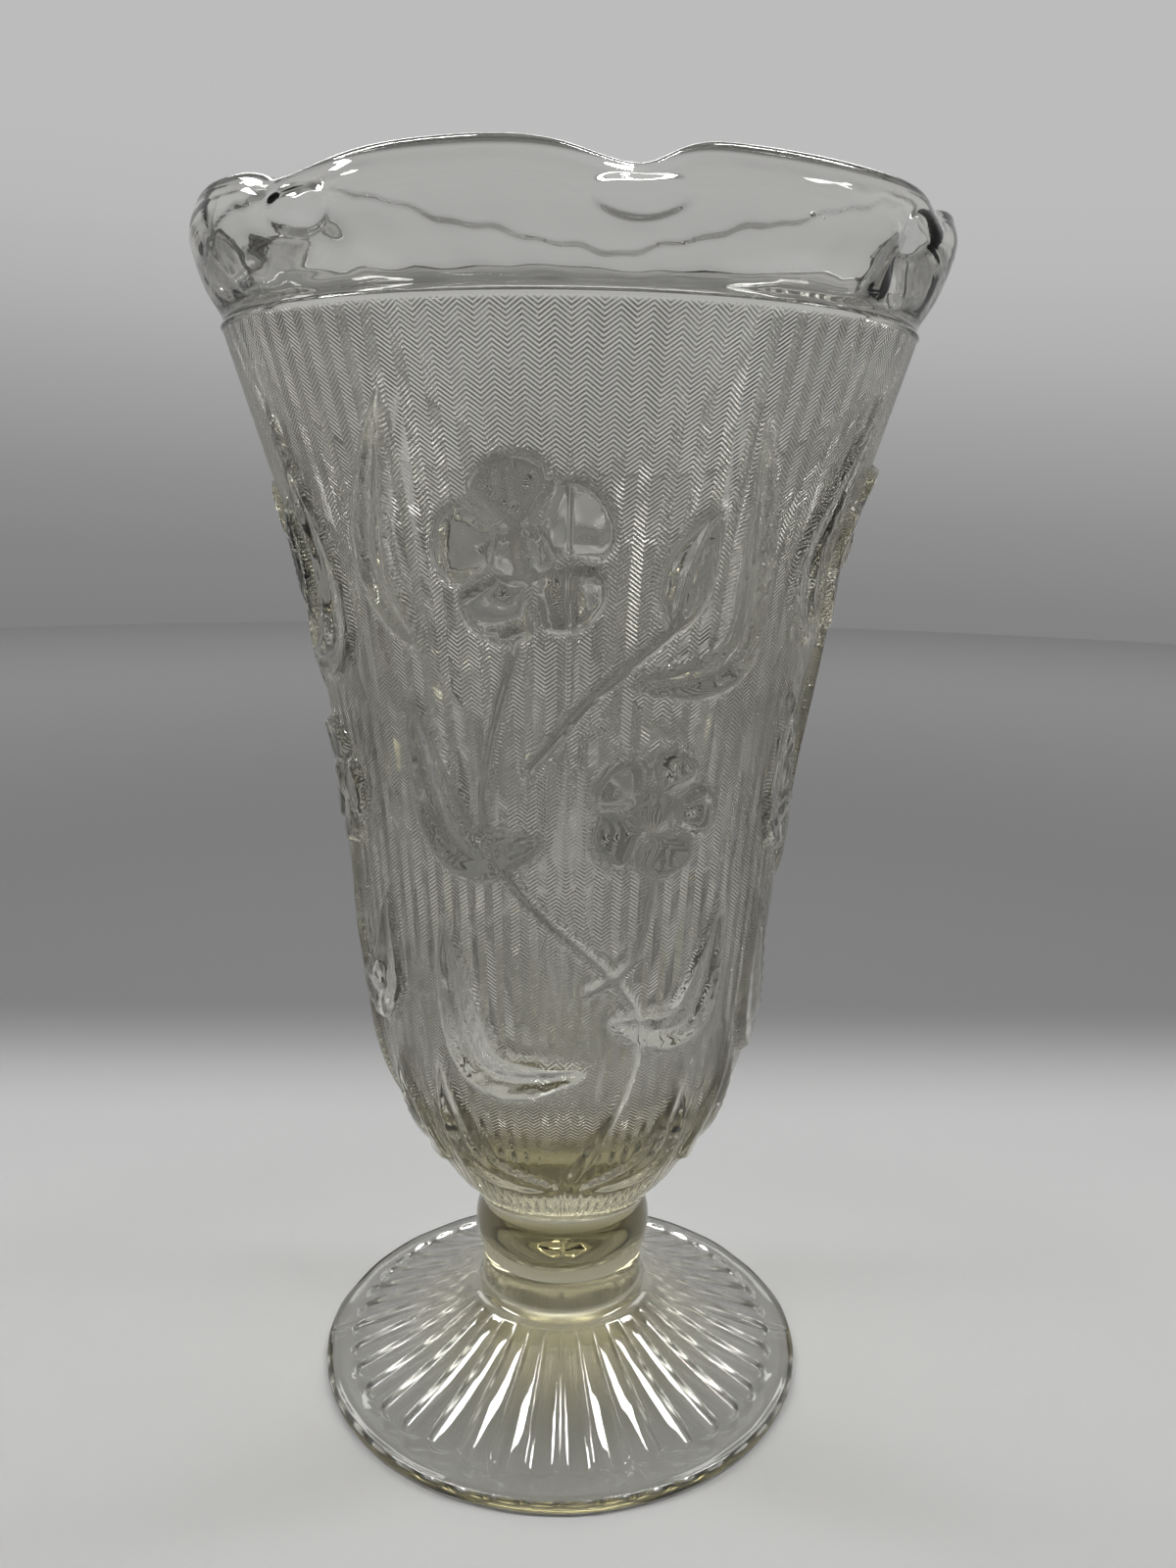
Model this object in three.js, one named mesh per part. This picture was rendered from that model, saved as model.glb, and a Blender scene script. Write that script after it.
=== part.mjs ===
// Pressed clear glass vase on a pedestal foot.
// Millimetres, +Z up, the seam of the mould faces -Y, the foot rests on z = 0.
// The glass is four zones that meet on flat faces: foot, knop, bowl and ruffled rim.

import * as THREE from 'three';

// Foot
const footRadius = 51;
const footEdgeHeight = 2.8;
const footEdgeRound = 1.2;
const rayOuterRadius = 46;
const rayOuterHeight = 3.8;
const rayInnerRadius = 19.6;
const rayInnerHeight = 16.4;
const raySag = 0.9;
const rayCount = 40;
const rayDepth = 0.9;
const footRingWidth = 3.4;
const footHollowDepth = 8;

// Neck and knop
const neckRadius = 17;
const neckCove = 2.4;
const knopBottom = 25;
const knopHeight = 11.5;
const knopRadius = 18.5;
const knopBottomRadius = 17;
const knopTopRadius = 17.3;

// Bowl: outside radius at chosen heights above the knop
const bowlHeight = 173.5;
const bowlOutline = [
  [3.5, 18.9],
  [9.5, 24],
  [17, 28.5],
  [28, 34.2],
  [42, 38.3],
  [62, 40.8],
  [90, 43.5],
  [114, 47.2],
  [134, 50.7],
  [152, 56.1],
];
const bowlTopRadius = 62.7;
const bowlWall = 4.2;
const bowlFloor = 10.5;
const bowlFloorRound = 26;

// Floral relief on the bowl, repeated around it
const sprayCount = 4;
const reliefHeight = 1.6;
const reliefEdge = 1.8;
const reliefFadeLow = 12;
const reliefFadeHigh = 6;
const petalCount = 5;
const petalNotch = 0.2;
const blossoms = [
  { across: -7, up: 173, radius: 15.5, turn: 0.2 },
  { across: 15, up: 130, radius: 12.5, turn: 0.9 },
];
// Leaves and a bud: the base, middle and tip of the midrib, and the width
const leaves = [
  { midrib: [[-3, 126], [-19, 124], [-28, 151]], width: 12 },
  { midrib: [[7, 92], [23, 90], [30, 113]], width: 10.5 },
  { midrib: [[5, 82], [-15, 82], [-23, 112]], width: 11 },
  { midrib: [[0, 52], [-17, 58], [-25, 84]], width: 9 },
  { midrib: [[3, 52], [18, 58], [24, 80]], width: 9 },
  { midrib: [[9, 152], [30, 158], [31, 197]], width: 10 },
  { midrib: [[-24, 156], [-34, 172], [-29, 200]], width: 9 },
  { midrib: [[17, 160], [19, 170], [24, 181]], width: 11 },
];

// Rim: a plain flared collar with crimps pressed into its lip
const rimHeight = 18.6;
const rimSetback = 0.4;
const rimStraight = 1.8;
const rimFlare = 5.4;
const rimFlareUp = 13.4;
const rimWall = 3.2;
const rimLipTurnIn = 1.6;

// Each crimp: degrees to the right of the front seam, how far it pulls the lip down and pinches
// it in, how many degrees it spreads to each side, and the dent of the tool below the lip
const crimps = [
  { at: -94, dip: 4.2, left: 10, right: 22, pinch: 4, dent: 0.8, dentShift: 0 },
  { at: -43, dip: 1.8, left: 4, right: 14, pinch: 3, dent: 2.4, dentShift: 6 },
  { at: 8, dip: 2.9, left: 8.5, right: 5, pinch: 2.6, dent: 0.8, dentShift: 0 },
  { at: 61, dip: 1.4, left: 4, right: 5, pinch: 1.2, dent: 2.8, dentShift: -7 },
  { at: 101, dip: 3.4, left: 14, right: 9, pinch: 3.8, dent: 1.4, dentShift: 2 },
  { at: 155, dip: 2.6, left: 9, right: 7, pinch: 3.2, dent: 1.6, dentShift: -2 },
  { at: -152, dip: 3, left: 7, right: 8, pinch: 3.6, dent: 1.2, dentShift: 0 },
];
const pinchSpread = 9;
const dentUp = 8.5;
const dentWidth = 5.5;
const dentHeight = 4.5;

// Mesh fineness
const bowlSides = 116;
const bowlRows = 43;
const cavityRows = 10;
const leafSteps = 8;
const rimSides = 112;
const raySides = 4;

const glass = (color) => new THREE.MeshStandardMaterial({
  color,
  roughness: 0.05,
  metalness: 0,
  transparent: true,
  opacity: 0.35,
});
const clearGlass = glass(0xd9dcd6);
const thickGlass = glass(0xc4c6b2);

const knopTop = knopBottom + knopHeight;
const ledgeHeight = knopTop + bowlHeight;

const v2 = (x, y) => new THREE.Vector2(x, y);
const clamp01 = (x) => Math.min(1, Math.max(0, x));
const smooth = (x) => clamp01(x) ** 2 * (3 - 2 * clamp01(x));

// A solid of revolution about Z from points (radius, height) that start and end on the axis,
// or that close on themselves. The first side lies on the seam at -Y.
function lathe(points, sides) {
  const geometry = new THREE.LatheGeometry(points, sides);
  geometry.rotateX(Math.PI / 2);
  return geometry;
}

// Moves each vertex of a solid by a rule on its azimuth from -Y, radius and height.
function reshape(geometry, rule) {
  const position = geometry.getAttribute('position');
  for (let i = 0; i < position.count; i += 1) {
    const x = position.getX(i);
    const y = position.getY(i);
    const radius = Math.hypot(x, y);
    if (radius < 1e-6) continue;
    const azimuth = Math.atan2(x, -y);
    const moved = rule(azimuth, radius, position.getZ(i));
    position.setXYZ(i, x * moved.radius / radius, y * moved.radius / radius, moved.height);
  }
  return geometry;
}

function named(name, geometry, material) {
  geometry.computeVertexNormals();
  const mesh = new THREE.Mesh(geometry, material);
  mesh.name = name;
  return mesh;
}

// Foot: a thin round plate that rises to the neck, hollow beneath, with rays pressed on top.
function makeFoot() {
  const hollowRadius = footRadius - footEdgeRound - footRingWidth;
  const points = [];
  const hollowSteps = 4;
  for (let i = 0; i <= hollowSteps; i += 1) {
    const t = i / hollowSteps;
    points.push(v2(hollowRadius * t, footHollowDepth * (1 - t * t)));
  }
  const edgeSteps = 2;
  for (let i = 0; i <= edgeSteps; i += 1) {
    const a = -Math.PI / 2 + (i / edgeSteps) * (Math.PI / 2);
    points.push(v2(
      footRadius - footEdgeRound + footEdgeRound * Math.cos(a),
      footEdgeRound + footEdgeRound * Math.sin(a),
    ));
  }
  for (let i = 1; i <= edgeSteps; i += 1) {
    const a = (i / edgeSteps) * (Math.PI / 2);
    points.push(v2(
      footRadius - footEdgeRound + footEdgeRound * Math.cos(a),
      footEdgeHeight - footEdgeRound + footEdgeRound * Math.sin(a),
    ));
  }
  const raySteps = 7;
  for (let i = 0; i <= raySteps; i += 1) {
    const t = i / raySteps;
    const sag = raySag * 4 * t * (1 - t);
    points.push(v2(
      rayOuterRadius + (rayInnerRadius - rayOuterRadius) * t,
      rayOuterHeight + (rayInnerHeight - rayOuterHeight) * t - sag,
    ));
  }
  points.push(v2(neckRadius + neckCove * 0.4, rayInnerHeight + neckCove * 0.4));
  points.push(v2(neckRadius, rayInnerHeight + neckCove));
  points.push(v2(knopBottomRadius, knopBottom));
  points.push(v2(0, knopBottom));

  const geometry = reshape(lathe(points, rayCount * raySides), (azimuth, radius, height) => {
    const onTop = height > rayOuterHeight * 0.9 && radius < rayOuterRadius && radius > rayInnerRadius;
    const floorHere = footHollowDepth * (1 - (radius / hollowRadius) ** 2);
    if (!onTop || height < floorHere + rayDepth) return { radius, height };
    const across = (azimuth / (2 * Math.PI)) * rayCount;
    const x = 2 * (across - Math.floor(across)) - 1;
    const t = (rayOuterRadius - radius) / (rayOuterRadius - rayInnerRadius);
    const fade = smooth(t * 6) * smooth((1 - t) * 3);
    const trough = Math.sqrt(Math.max(0, 1 - x * x));
    return { radius, height: height - rayDepth * fade * trough };
  });
  return named('foot', geometry, clearGlass);
}

// Knop: the solid rounded band between the neck of the foot and the bowl.
function makeKnop() {
  const points = [v2(0, knopBottom)];
  const steps = 8;
  for (let i = 0; i <= steps; i += 1) {
    const t = i / steps;
    const straight = knopBottomRadius + (knopTopRadius - knopBottomRadius) * t;
    const middle = (knopBottomRadius + knopTopRadius) / 2;
    const bulge = (knopRadius - middle) * Math.sin(Math.PI * t);
    points.push(v2(straight + bulge, knopBottom + knopHeight * t));
  }
  points.push(v2(0, knopTop));
  return named('knop', lathe(points, 48), thickGlass);
}

// Raised share of a blossom: rounded petals that rise towards their tips, and a domed heart.
function blossomRelief(blossom, x, height) {
  const dx = x - blossom.across;
  const dy = height - blossom.up;
  const away = Math.hypot(dx, dy);
  const lobe = Math.abs(Math.cos((Math.atan2(dx, dy) + blossom.turn) * petalCount / 2));
  const edge = blossom.radius * (1 - petalNotch * (1 - lobe) ** 1.5);
  const rise = 0.62 + 0.5 * (away / blossom.radius) ** 1.5;
  const heart = away / (0.22 * blossom.radius);
  const dome = heart < 1 ? 0.75 * Math.sqrt(1 - heart ** 2) : 0;
  return smooth((edge - away) / reliefEdge) * (rise + dome);
}

// Raised share of a leaf: pointed at both ends and rounded across.
function leafRelief(leaf, x, height) {
  const line = leaf.points;
  let nearest = Infinity;
  let share = 0;
  for (let i = 0; i < leafSteps; i += 1) {
    const a = line[i];
    const along = v2(line[i + 1].x - a.x, line[i + 1].y - a.y);
    const offset = v2(x - a.x, height - a.y);
    const t = clamp01(offset.dot(along) / along.lengthSq());
    const away = offset.sub(along.clone().multiplyScalar(t)).length();
    if (away < nearest) {
      nearest = away;
      share = (i + t) / leafSteps;
    }
  }
  const half = (leaf.width / 2) * Math.abs(Math.sin(Math.PI * share ** 0.8)) ** 0.8;
  if (nearest >= half) return 0;
  const body = 0.5 + 0.5 * Math.sqrt(1 - (nearest / half) ** 2);
  return smooth((half - nearest) / reliefEdge) * body;
}

const leafLines = leaves.map(({ midrib, width }) => ({
  width,
  points: new THREE.SplineCurve(midrib.map(([across, up]) => v2(across, up))).getPoints(leafSteps),
}));

// Height of the relief at a place on the bowl. A leaf may reach past the edge of its own spray.
function relief(azimuth, height, radius) {
  const pitch = (2 * Math.PI) / sprayCount;
  const x = (azimuth - Math.round(azimuth / pitch) * pitch) * radius;
  let raised = 0;
  for (const shift of [-pitch * radius, 0, pitch * radius]) {
    for (const blossom of blossoms) raised = Math.max(raised, blossomRelief(blossom, x + shift, height));
    for (const leaf of leafLines) raised = Math.max(raised, leafRelief(leaf, x + shift, height));
  }
  return reliefHeight * raised;
}

// Bowl: a thick-walled trumpet, smooth inside, with the floral relief outside.
function makeBowl() {
  const outline = new THREE.SplineCurve([
    v2(knopTopRadius, 0),
    ...bowlOutline.map(([up, radius]) => v2(radius, up * bowlHeight / 173.5)),
    v2(bowlTopRadius, bowlHeight),
  ]);
  const outer = outline.getSpacedPoints(bowlRows);
  const outerRadiusAt = (up) => {
    const next = Math.max(1, outer.findIndex((p) => p.y >= up));
    const a = outer[next - 1];
    const b = outer[next];
    return a.x + (b.x - a.x) * clamp01((up - a.y) / (b.y - a.y));
  };
  const points = [v2(0, knopTop)];
  for (const p of outer) points.push(v2(p.x, knopTop + p.y));
  for (let i = 0; i <= cavityRows; i += 1) {
    const t = 1 - i / cavityRows;
    const up = bowlFloor + (bowlHeight - bowlFloor) * t ** 1.7;
    const rise = clamp01((up - bowlFloor) / bowlFloorRound);
    const roundIn = Math.sqrt(1 - (1 - rise) ** 2);
    points.push(v2((outerRadiusAt(up) - bowlWall) * roundIn, knopTop + up));
  }
  const geometry = reshape(lathe(points, bowlSides), (azimuth, radius, height) => {
    const ground = outerRadiusAt(height - knopTop);
    if (radius < ground - bowlWall / 2) return { radius, height };
    const fadeLow = smooth((height - knopTop) / reliefFadeLow);
    const fade = fadeLow * smooth((ledgeHeight - height) / reliefFadeHigh);
    return { radius: radius + relief(azimuth, height, ground) * fade, height };
  });
  return named('bowl', geometry, clearGlass);
}

// Rim: the plain collar above the ledge, flared and then turned up to a fire-polished lip,
// with crimps that pinch the lip inward and pull it down.
function makeRim() {
  const inside = bowlTopRadius - bowlWall;
  const lipRadius = rimWall / 2;
  const start = v2(bowlTopRadius - rimSetback, ledgeHeight);
  const widest = v2(bowlTopRadius + rimFlare, ledgeHeight + rimFlareUp);
  const lipSide = v2(widest.x - rimLipTurnIn * 0.4, ledgeHeight + rimHeight - lipRadius);
  const side = new THREE.SplineCurve([
    start,
    v2(start.x + rimSetback, ledgeHeight + rimStraight),
    v2(start.x + (widest.x - start.x) * 0.58, start.y + (widest.y - start.y) * 0.5),
    widest,
    lipSide,
  ]);
  const outer = side.getPoints(8);
  const points = [...outer];
  const lipSteps = 4;
  for (let i = 1; i < lipSteps; i += 1) {
    const a = (i / lipSteps) * Math.PI;
    points.push(v2(
      lipSide.x - lipRadius + lipRadius * Math.cos(a),
      lipSide.y + lipRadius * Math.sin(a),
    ));
  }
  for (let i = outer.length - 1; i >= 0; i -= 1) {
    const t = (outer[i].y - ledgeHeight) / (lipSide.y - ledgeHeight);
    const wallHere = start.x - inside;
    const wall = wallHere + (rimWall - wallHere) * clamp01(t * 1.6);
    points.push(v2(outer[i].x - wall, outer[i].y));
  }
  points.push(points[0].clone());

  const hill = (away, width) => Math.exp(-((away / width) ** 2));
  const geometry = reshape(lathe(points, rimSides), (azimuth, radius, height) => {
    const s = (height - ledgeHeight) / rimHeight;
    let pinch = 0;
    let dip = 0;
    let dent = 0;
    for (const crimp of crimps) {
      const degrees = THREE.MathUtils.radToDeg(azimuth) - crimp.at;
      const away = degrees - Math.round(degrees / 360) * 360;
      const spread = away < 0 ? crimp.left : crimp.right;
      const pressed = away < 0 ? Math.max(crimp.left, pinchSpread) : crimp.right;
      dip = Math.max(dip, crimp.dip * hill(away, spread));
      pinch = Math.max(pinch, crimp.pinch * hill(away, pressed));
      dent += crimp.dent * hill(away - crimp.dentShift, dentWidth);
    }
    const dentHere = dent * hill(height - ledgeHeight - dentUp, dentHeight) * smooth(s * 5);
    return { radius: radius - pinch * s ** 2 - dentHere, height: height - dip * s ** 3 };
  });
  return named('ruffled_rim', geometry, clearGlass);
}

const vase = new THREE.Group();
vase.name = 'pedestal_vase';
vase.add(makeFoot(), makeKnop(), makeBowl(), makeRim());

export default vase;
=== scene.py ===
import math
import time

import bmesh
import bpy
from mathutils import Matrix, Vector


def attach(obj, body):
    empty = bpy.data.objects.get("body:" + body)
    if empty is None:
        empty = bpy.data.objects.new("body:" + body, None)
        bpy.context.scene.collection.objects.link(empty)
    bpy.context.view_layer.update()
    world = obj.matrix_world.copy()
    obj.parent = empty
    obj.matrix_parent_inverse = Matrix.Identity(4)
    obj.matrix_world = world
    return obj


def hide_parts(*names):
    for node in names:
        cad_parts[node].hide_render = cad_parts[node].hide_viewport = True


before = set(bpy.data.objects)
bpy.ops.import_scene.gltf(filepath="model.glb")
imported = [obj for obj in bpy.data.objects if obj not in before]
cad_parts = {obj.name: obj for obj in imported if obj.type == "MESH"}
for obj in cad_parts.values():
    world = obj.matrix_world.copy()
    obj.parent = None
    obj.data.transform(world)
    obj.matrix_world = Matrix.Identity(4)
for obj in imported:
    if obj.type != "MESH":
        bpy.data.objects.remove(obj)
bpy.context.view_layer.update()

mm = 0.001
turn = 2 * math.pi
flatEnough = 0.002                     # mm, for doubled points and for the joint faces
onAxis = 0.01                          # mm


# Small helpers

def clamp(value, low=0.0, high=1.0):
    return max(low, min(high, value))


def smooth(value):
    t = clamp(value)
    return t * t * (3 - 2 * t)


def hill(value, width):
    return math.exp(-(value / width) ** 2)


def curveThrough(points, steps, perSpan=24):
    # a Catmull-Rom line through the points, cut into even lengths
    ends = [points[0], *points, points[-1]]
    dense = []
    for i in range(len(points) - 1):
        a, b, c, d = ends[i:i + 4]
        for k in range(perSpan):
            t = k / perSpan
            dense.append(tuple(
                0.5 * (2 * b[n] + (c[n] - a[n]) * t + (2 * a[n] - 5 * b[n] + 4 * c[n] - d[n]) * t * t
                       + (3 * b[n] - a[n] - 3 * c[n] + d[n]) * t ** 3)
                for n in (0, 1)))
    dense.append(points[-1])
    lengths = [0.0]
    for p, q in zip(dense, dense[1:]):
        lengths.append(lengths[-1] + math.hypot(q[0] - p[0], q[1] - p[1]))
    line = []
    at = 0
    for i in range(steps + 1):
        want = lengths[-1] * i / steps
        while at < len(dense) - 2 and lengths[at + 1] < want:
            at += 1
        part = (want - lengths[at]) / max(1e-9, lengths[at + 1] - lengths[at])
        line.append(tuple(dense[at][n] + (dense[at + 1][n] - dense[at][n]) * part for n in (0, 1)))
    return line


def spinOutline(outline, sides):
    # turns (radius, height) points in mm about Z, starting at the front seam
    bm = bmesh.new()
    verts = [bm.verts.new((0, -r * mm, z * mm)) for r, z in outline]
    edges = [bm.edges.new(pair) for pair in zip(verts, verts[1:])]
    bmesh.ops.spin(bm, geom=verts + edges, cent=(0, 0, 0), axis=(0, 0, 1), angle=turn,
                   steps=sides, use_merge=True)
    bmesh.ops.remove_doubles(bm, verts=bm.verts, dist=flatEnough * mm)
    bmesh.ops.recalc_face_normals(bm, faces=bm.faces)
    return bm


def reshape(bm, rule):
    # moves each vertex by a rule on azimuth from the seam, radius and height in mm
    for vert in bm.verts:
        radius = math.hypot(vert.co.x, vert.co.y) / mm
        if radius < onAxis:
            continue
        azimuth = math.atan2(vert.co.x, -vert.co.y)
        azimuth, radius, height = rule(vert, azimuth, radius, vert.co.z / mm)
        vert.co = Vector((math.sin(azimuth) * radius, -math.cos(azimuth) * radius, height)) * mm


wobbleWaves = [
    # share, waves round the vase, start in radians and slant in radians per mm
    (1.0, 5, 1.1, 0.21),
    (0.7, 11, 4.2, -0.33),
    (0.5, 23, 2.3, 0.5),
]


def unevenness(azimuth, height=0.0):
    # a slow hand-made wobble between -1 and 1 that closes round the vase
    total = sum(share * math.sin(waves * azimuth + start + slant * height)
                for share, waves, start, slant in wobbleWaves)
    return total / sum(wave[0] for wave in wobbleWaves)


def addBubbles(bm, bubbles):
    # air in the glass: (x, y, z, radius) in mm, with faces that point out of the glass
    for x, y, z, radius in bubbles:
        made = bmesh.ops.create_icosphere(bm, subdivisions=2, radius=radius * mm,
                                          matrix=Matrix.Translation(Vector((x, y, z)) * mm))
        faces = {face for vert in made["verts"] for face in vert.link_faces}
        bmesh.ops.reverse_faces(bm, faces=list(faces))


def markJoints(bm, heights, outer):
    # the flat faces where one zone of the glass runs on into the next
    layer = bm.faces.layers.float.new("joint")
    for face in bm.faces:
        centre = face.calc_center_median()
        radius = math.hypot(centre.x, centre.y) / mm
        onPlane = any(all(abs(v.co.z / mm - h) < flatEnough for v in face.verts) for h in heights)
        face[layer] = 1.0 if onPlane and radius <= outer else 0.0
    for edge in bm.edges:
        kinds = {face[layer] for face in edge.link_faces}
        edge.smooth = len(kinds) < 2


def finishPiece(bm, name, node, material):
    for face in bm.faces:
        face.smooth = True
    mesh = bpy.data.meshes.new(name)
    bm.to_mesh(mesh)
    bm.free()
    mesh.materials.append(material)
    piece = bpy.data.objects.new(name, mesh)
    bpy.context.scene.collection.objects.link(piece)
    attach(piece, "root")
    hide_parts(node)
    print(name, len(mesh.polygons), "faces", round(time.process_time(), 1), "s")


# Shader node groups shared by the glass materials

def newGroup(name, inputs, outputs):
    group = bpy.data.node_groups.new(name, "ShaderNodeTree")
    for label, value in inputs:
        socket = group.interface.new_socket(label, in_out="INPUT", socket_type="NodeSocketFloat")
        socket.default_value = value
    for label in outputs:
        group.interface.new_socket(label, in_out="OUTPUT", socket_type="NodeSocketFloat")
    return group, group.nodes.new("NodeGroupInput"), group.nodes.new("NodeGroupOutput")


def mathNode(tree, operation, a, b=None, c=None):
    node = tree.nodes.new("ShaderNodeMath")
    node.operation = operation
    for i, value in enumerate((a, b, c)):
        if value is None:
            continue
        if isinstance(value, (int, float)):
            node.inputs[i].default_value = value
        else:
            tree.links.new(value, node.inputs[i])
    return node.outputs[0]


def ramp(tree, value, low, high):
    # 0 at low and 1 at high, with a soft start and end
    node = tree.nodes.new("ShaderNodeMapRange")
    node.interpolation_type = "SMOOTHSTEP"
    node.inputs["From Min"].default_value = low
    node.inputs["From Max"].default_value = high
    tree.links.new(value, node.inputs["Value"])
    return node.outputs["Result"]


def opposite(tree, value):
    return mathNode(tree, "SUBTRACT", 1.0, value)


def attribute(tree, name):
    node = tree.nodes.new("ShaderNodeAttribute")
    node.attribute_name = name
    return node.outputs["Fac"]


def axes(tree, kind):
    # x, y and z of the "Object" place or of the "Generated" direction
    coords = tree.nodes.new("ShaderNodeTexCoord")
    split = tree.nodes.new("ShaderNodeSeparateXYZ")
    tree.links.new(coords.outputs[kind], split.inputs[0])
    return split.outputs


def placeOnVase(tree):
    # azimuth from the seam in turns, height in mm and radius in mm
    x, y, z = axes(tree, "Object")
    angle = mathNode(tree, "ARCTAN2", x, mathNode(tree, "MULTIPLY", y, -1.0))
    turns = mathNode(tree, "DIVIDE", angle, turn)
    height = mathNode(tree, "DIVIDE", z, mm)
    flat = mathNode(tree, "ADD", mathNode(tree, "MULTIPLY", x, x), mathNode(tree, "MULTIPLY", y, y))
    radius = mathNode(tree, "DIVIDE", mathNode(tree, "SQRT", flat), mm)
    return turns, height, radius


def makeHerringbone():
    # fine lines that zigzag in upright columns
    group, given, out = newGroup("herringboneGround",
                                 [("Columns", 84.0), ("Pitch", 0.7), ("Rise", 0.36), ("Depth", 0.12)],
                                 ["Height"])
    turns, height, radius = placeOnVase(group)
    column = mathNode(group, "MULTIPLY", turns, given.outputs["Columns"])
    zigzag = mathNode(group, "PINGPONG", column, 0.5)          # 0 to 0.5 and back in each column
    width = mathNode(group, "DIVIDE", mathNode(group, "MULTIPLY", radius, turn), given.outputs["Columns"])
    lift = mathNode(group, "MULTIPLY", mathNode(group, "MULTIPLY", zigzag, width),
                    mathNode(group, "MULTIPLY", given.outputs["Rise"], 2.0))
    line = mathNode(group, "DIVIDE", mathNode(group, "SUBTRACT", height, lift), given.outputs["Pitch"])
    wave = mathNode(group, "SINE", mathNode(group, "MULTIPLY", line, turn))
    ridge = mathNode(group, "MULTIPLY_ADD", wave, 0.5, 0.5)
    group.links.new(mathNode(group, "MULTIPLY", ridge, given.outputs["Depth"]), out.inputs["Height"])
    return group


def makeSeam():
    # a low ridge where the parts of the mould met, as a bell curve across each seam
    group, given, out = newGroup("mouldSeam", [("Seams", 4.0), ("Width", 0.35), ("Depth", 0.1)], ["Height"])
    turns, _, radius = placeOnVase(group)
    nearest = mathNode(group, "PINGPONG", mathNode(group, "MULTIPLY", turns, given.outputs["Seams"]), 0.5)
    around = mathNode(group, "MULTIPLY", radius, turn)
    away = mathNode(group, "DIVIDE", mathNode(group, "MULTIPLY", nearest, around), given.outputs["Seams"])
    across = mathNode(group, "DIVIDE", away, given.outputs["Width"])
    squared = mathNode(group, "MULTIPLY", across, across)
    bell = mathNode(group, "POWER", math.e, mathNode(group, "MULTIPLY", squared, -1.0))
    group.links.new(mathNode(group, "MULTIPLY", bell, given.outputs["Depth"]), out.inputs["Height"])
    return group


def makeWaviness():
    # fire-polished glass is never quite flat: broad swells and a finer ripple
    group, given, out = newGroup("fireWaves", [("Broad", 0.12), ("Fine", 0.01)], ["Height"])
    coords = group.nodes.new("ShaderNodeTexCoord")
    total = None
    for label, scale, detail in (("Broad", 70.0, 1.0), ("Fine", 420.0, 2.0)):         # scale per metre
        noise = group.nodes.new("ShaderNodeTexNoise")
        noise.inputs["Scale"].default_value = scale
        noise.inputs["Detail"].default_value = detail
        group.links.new(coords.outputs["Object"], noise.inputs["Vector"])
        part = mathNode(group, "MULTIPLY", noise.outputs["Fac"], given.outputs[label])
        total = part if total is None else mathNode(group, "ADD", total, part)
    group.links.new(total, out.inputs["Height"])
    return group


herringboneGroup = makeHerringbone()
seamGroup = makeSeam()
wavesGroup = makeWaviness()
print("node groups made")


# Glass

glassLook = {
    "roughness": 0.01,
    "ior": 1.51,
    "tint": (0.80, 0.765, 0.56, 1),      # what is left of white light deep in the glass
}


def glassMaterial(name, look, addHeights, addWear=None):
    material = bpy.data.materials.new(name)
    material.use_nodes = True
    tree = material.node_tree
    shader = tree.nodes["Principled BSDF"]
    output = tree.nodes["Material Output"]
    # each zone's glass is given its own grey, darker where that zone looks darker: painted shade
    shader.inputs["Base Color"].default_value = look["colour"]
    shader.inputs["Roughness"].default_value = glassLook["roughness"]
    shader.inputs["IOR"].default_value = glassLook["ior"]
    shader.inputs["Metallic"].default_value = 0.0
    shader.inputs["Transmission Weight"].default_value = 1.0
    # no surface where the zones join, and some of the light passes straight through the rest
    path = tree.nodes.new("ShaderNodeLightPath")
    solid = mathNode(tree, "MULTIPLY_ADD", path.outputs["Is Shadow Ray"], -look["clearShadow"], 1.0)
    surface = opposite(tree, attribute(tree, "joint"))
    tree.links.new(mathNode(tree, "MULTIPLY", surface, solid), shader.inputs["Alpha"])
    if addWear:
        worn = mathNode(tree, "MULTIPLY_ADD", addWear(tree), look["wornRoughness"], glassLook["roughness"])
        tree.links.new(worn, shader.inputs["Roughness"])
    depth = tree.nodes.new("ShaderNodeVolumeAbsorption")
    depth.inputs["Color"].default_value = glassLook["tint"]
    depth.inputs["Density"].default_value = look["tintDensity"]
    tree.links.new(depth.outputs[0], output.inputs["Volume"])
    bump = tree.nodes.new("ShaderNodeBump")
    bump.inputs["Distance"].default_value = mm
    tree.links.new(addHeights(tree), bump.inputs["Height"])
    tree.links.new(bump.outputs[0], shader.inputs["Normal"])
    return material


def groupHeight(tree, group, values):
    node = tree.nodes.new("ShaderNodeGroup")
    node.node_tree = group
    for label, value in values.items():
        node.inputs[label].default_value = value
    return node.outputs["Height"]


def addUp(tree, parts):
    total = parts[0]
    for part in parts[1:]:
        total = mathNode(tree, "ADD", total, part)
    return total


# Foot

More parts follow.
